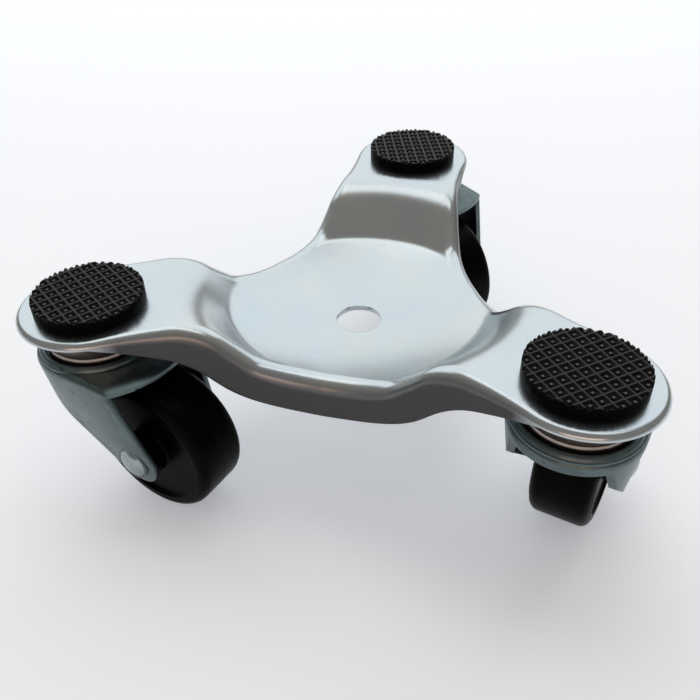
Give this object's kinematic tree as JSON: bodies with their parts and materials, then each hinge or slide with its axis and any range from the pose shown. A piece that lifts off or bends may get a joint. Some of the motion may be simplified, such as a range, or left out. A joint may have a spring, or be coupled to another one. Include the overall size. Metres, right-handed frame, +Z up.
{
  "type": "tri-dolly",
  "caption": "Low three-armed moving dolly: a pressed silver steel plate with rubber grip pads over swivel casters that carry plain black wheels.",
  "frame": {"origin": "middle of the centre hole, halfway through the sheet", "axes": "+Z up along the hole's axis; +Y out along the back arm; the other arms lie at 210 and 330 degrees from +X"},
  "size_m": [0.2005, 0.1807, 0.0755],
  "materials": {
    "silver_paint": "satin",
    "zinc_steel": "satin",
    "ball_steel": "polished",
    "pad_rubber": "matte",
    "seal_black": "matte",
    "wheel_black": "satin"
  },
  "bodies": {
    "frame": {"frame_plate": "silver_paint", "grip_pad_left": "pad_rubber", "upper_race_left": "zinc_steel", "king_pin_left": "zinc_steel", "race_balls_left": "ball_steel", "race_seal_left": "seal_black", "thrust_washer_left": "zinc_steel", "grip_pad_right": "pad_rubber", "upper_race_right": "zinc_steel", "king_pin_right": "zinc_steel", "race_balls_right": "ball_steel", "race_seal_right": "seal_black", "thrust_washer_right": "zinc_steel", "grip_pad_back": "pad_rubber", "upper_race_back": "zinc_steel", "king_pin_back": "zinc_steel", "race_balls_back": "ball_steel", "race_seal_back": "seal_black", "thrust_washer_back": "zinc_steel"},
    "swivel_left": {"fork_left": "zinc_steel", "axle_rivet_left": "zinc_steel", "axle_sleeve_left": "ball_steel"},
    "roller_left": {"wheel_left": "wheel_black"},
    "swivel_right": {"fork_right": "zinc_steel", "axle_rivet_right": "zinc_steel", "axle_sleeve_right": "ball_steel"},
    "roller_right": {"wheel_right": "wheel_black"},
    "swivel_back": {"fork_back": "zinc_steel", "axle_rivet_back": "zinc_steel", "axle_sleeve_back": "ball_steel"},
    "roller_back": {"wheel_back": "wheel_black"}
  },
  "joints": [
    {"name": "swivel_left", "type": "hinge", "parent": "frame", "child": "swivel_left", "pos_m": [-0.07621, -0.044, -0.021], "axis": [0, 0, 1], "continuous": true},
    {"name": "roll_left", "type": "hinge", "parent": "swivel_left", "child": "roller_left", "pos_m": [-0.05449, -0.05023, -0.021], "axis": [0.2756, 0.9613, 0], "continuous": true},
    {"name": "swivel_right", "type": "hinge", "parent": "frame", "child": "swivel_right", "pos_m": [0.07621, -0.044, -0.021], "axis": [0, 0, 1], "continuous": true},
    {"name": "roll_right", "type": "hinge", "parent": "swivel_right", "child": "roller_right", "pos_m": [0.08168, -0.02207, -0.021], "axis": [-0.9703, 0.2419, 0], "continuous": true},
    {"name": "swivel_back", "type": "hinge", "parent": "frame", "child": "swivel_back", "pos_m": [0, 0.088, -0.021], "axis": [0, 0, 1], "continuous": true},
    {"name": "roll_back", "type": "hinge", "parent": "swivel_back", "child": "roller_back", "pos_m": [0.01653, 0.07259, -0.021], "axis": [0.682, 0.7314, 0], "continuous": true}
  ]
}
